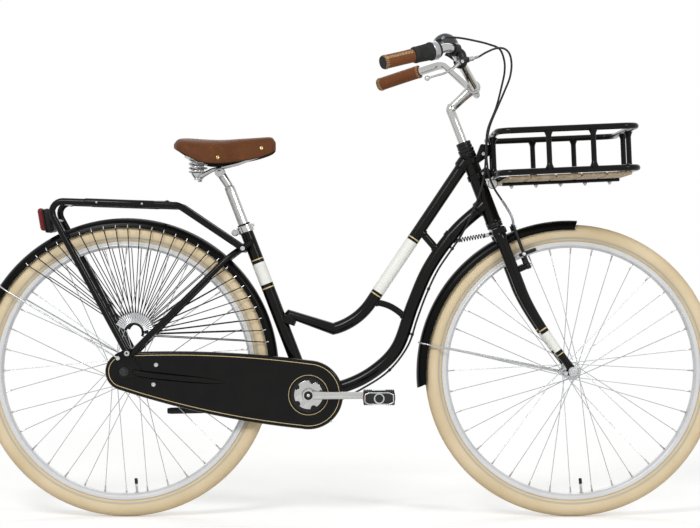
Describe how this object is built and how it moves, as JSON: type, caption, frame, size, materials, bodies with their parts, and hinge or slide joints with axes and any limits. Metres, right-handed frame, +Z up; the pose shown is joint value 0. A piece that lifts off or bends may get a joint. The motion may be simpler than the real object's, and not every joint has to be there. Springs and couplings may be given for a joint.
{
  "type": "dutch city bike",
  "caption": "Step-through city bicycle with swept handlebar, sprung leather saddle, full chain case, skirt guards, rear rack and a slatted front basket.",
  "frame": {"origin": "on the ground, midway between the two wheel axles, in the bicycle's middle plane", "axes": "+X forward along the wheelbase, +Y the rider's left, +Z up"},
  "size_m": [1.8213, 0.617, 1.1635],
  "materials": {
    "alloy": "satin",
    "cream_rubber": "matte",
    "steel": "satin",
    "black_paint": "gloss",
    "black_plastic": "matte",
    "dark_steel": "satin",
    "chrome": "mirror polish",
    "leather": "satin",
    "red_lens": "clear gloss",
    "clear_lens": "clear gloss",
    "black_cord": "matte",
    "cable_sheath": "satin",
    "rubber": "matte",
    "wood": "oiled"
  },
  "bodies": {
    "frame": {"frame": "black_paint", "headset_upper": "black_plastic", "headset_lower": "black_plastic", "bottom_bracket": "steel", "seat_clamp": "alloy", "rear_axle": "steel", "rear_rack": "black_paint", "tail_light_housing": "black_plastic", "tail_light_lens": "red_lens", "rear_fender": "black_paint", "rear_fender_stay": "steel", "skirt_guard_right": "black_cord", "skirt_guard_left": "black_cord", "chain_case_outer": "black_paint", "chain_case_inner": "black_paint", "chain": "steel", "basket_frame": "black_paint", "basket_floor": "wood", "front_reflector": "clear_lens", "shift_cable": "cable_sheath"},
    "steering": {"fork": "black_paint", "headset_locknut": "black_plastic", "steering_spring": "dark_steel", "stem": "alloy", "handlebar": "chrome", "grip_left": "leather", "grip_right": "leather", "shifter_housing": "dark_steel", "brake_bracket": "black_plastic", "bell_base": "black_plastic", "bell_dome": "dark_steel", "brake_cable": "cable_sheath", "front_axle": "steel", "front_fender": "black_paint", "front_fender_stay": "steel"},
    "front_wheel": {"front_hub": "alloy", "front_rim": "alloy", "front_tyre": "cream_rubber"},
    "rear_wheel": {"rear_hub": "alloy", "rear_rim": "alloy", "rear_tyre": "cream_rubber"},
    "cranks": {"crank_axle": "steel", "crank_right": "alloy", "crank_left": "alloy", "chainring": "alloy"},
    "sprocket": {"rear_sprocket": "steel"},
    "pedal_right": {"pedal_right": "rubber"},
    "pedal_left": {"pedal_left": "rubber"},
    "kickstand": {"kickstand": "alloy"},
    "brake_lever": {"brake_lever": "dark_steel"},
    "brake_arm_right": {"brake_arm_right": "black_plastic"},
    "brake_arm_left": {"brake_arm_left": "black_plastic"},
    "shifter_twist": {"shifter_twist": "black_plastic"},
    "bell_lever": {"bell_lever": "chrome"},
    "seat_post": {"seat_post": "chrome"},
    "saddle": {"saddle_cover": "leather", "saddle_rails": "steel", "saddle_spring_right": "steel", "saddle_spring_left": "steel"},
    "seat_clamp_lever": {"seat_clamp_lever": "alloy"}
  },
  "joints": [
    {"name": "steer", "type": "hinge", "parent": "frame", "child": "steering", "pos_m": [0.50209, 0, 0.34134], "axis": [-0.3584, 0, 0.9336], "range_deg": [-45, 45], "deforming": ["steering_spring", "brake_cable", "shift_cable"]},
    {"name": "front_wheel_spin", "type": "hinge", "parent": "steering", "child": "front_wheel", "pos_m": [0.5455, 0, 0.358], "axis": [0, 1, 0], "continuous": true},
    {"name": "rear_wheel_spin", "type": "hinge", "parent": "frame", "child": "rear_wheel", "pos_m": [-0.5455, 0, 0.358], "axis": [0, 1, 0], "continuous": true},
    {"name": "crank_spin", "type": "hinge", "parent": "frame", "child": "cranks", "pos_m": [-0.0975, 0, 0.301], "axis": [0, 1, 0], "continuous": true},
    {"name": "sprocket_spin", "type": "hinge", "parent": "frame", "child": "sprocket", "pos_m": [-0.5455, 0, 0.358], "axis": [0, 1, 0], "continuous": true},
    {"name": "pedal_right_spin", "type": "hinge", "parent": "cranks", "child": "pedal_right", "pos_m": [0.0725, -0.14, 0.301], "axis": [0, 1, 0], "continuous": true},
    {"name": "pedal_left_spin", "type": "hinge", "parent": "cranks", "child": "pedal_left", "pos_m": [-0.2675, 0.14, 0.301], "axis": [0, 1, 0], "continuous": true},
    {"name": "kickstand_swing", "type": "hinge", "parent": "frame", "child": "kickstand", "pos_m": [-0.1645, 0.04, 0.262], "axis": [0, -1, 0], "range_deg": [0, 115]},
    {"name": "brake_lever_pull", "type": "hinge", "parent": "steering", "child": "brake_lever", "pos_m": [0.2636, -0.195, 1.09663], "axis": [-0.4712, 0.882, 0], "range_deg": [0, 15], "stiffness_Nm_per_rad": 1.2, "springref_deg": -8.59},
    {"name": "brake_arm_right_close", "type": "hinge", "parent": "steering", "child": "brake_arm_right", "pos_m": [0.43385, -0.04, 0.61399], "axis": [0.9336, 0, 0.3584], "range_deg": [-3, 0]},
    {"name": "brake_arm_left_close", "type": "hinge", "parent": "steering", "child": "brake_arm_left", "pos_m": [0.43385, 0.04, 0.61399], "axis": [0.9336, 0, 0.3584], "range_deg": [0, 3]},
    {"name": "shifter_turn", "type": "hinge", "parent": "steering", "child": "shifter_twist", "pos_m": [0.243, -0.206, 1.132], "axis": [-0.8553, -0.4569, -0.2444], "range_deg": [-60, 60]},
    {"name": "bell_lever_push", "type": "hinge", "parent": "steering", "child": "bell_lever", "pos_m": [0.2188, -0.15882, 1.10953], "axis": [0, 0, 1], "range_deg": [0, 25], "stiffness_Nm_per_rad": 0.05, "springref_deg": -5.73},
    {"name": "seat_post_slide", "type": "slide", "parent": "frame", "child": "seat_post", "axis": [-0.36, 0, 0.933], "range_m": [-0.06, 0.1]},
    {"name": "saddle_tilt", "type": "hinge", "parent": "seat_post", "child": "saddle", "pos_m": [-0.31545, 0, 0.84405], "axis": [0, 1, 0], "range_deg": [-10, 10]},
    {"name": "seat_clamp_open", "type": "hinge", "parent": "frame", "child": "seat_clamp_lever", "pos_m": [-0.27878, 0.022, 0.69581], "axis": [0, -1, 0], "range_deg": [0, 110]}
  ],
  "couplings": [
    {"joint": "sprocket_spin", "follows": "crank_spin", "ratio": 2.25},
    {"joint": "brake_arm_right_close", "follows": "brake_lever_pull", "ratio": -0.2},
    {"joint": "brake_arm_left_close", "follows": "brake_lever_pull", "ratio": 0.2}
  ]
}
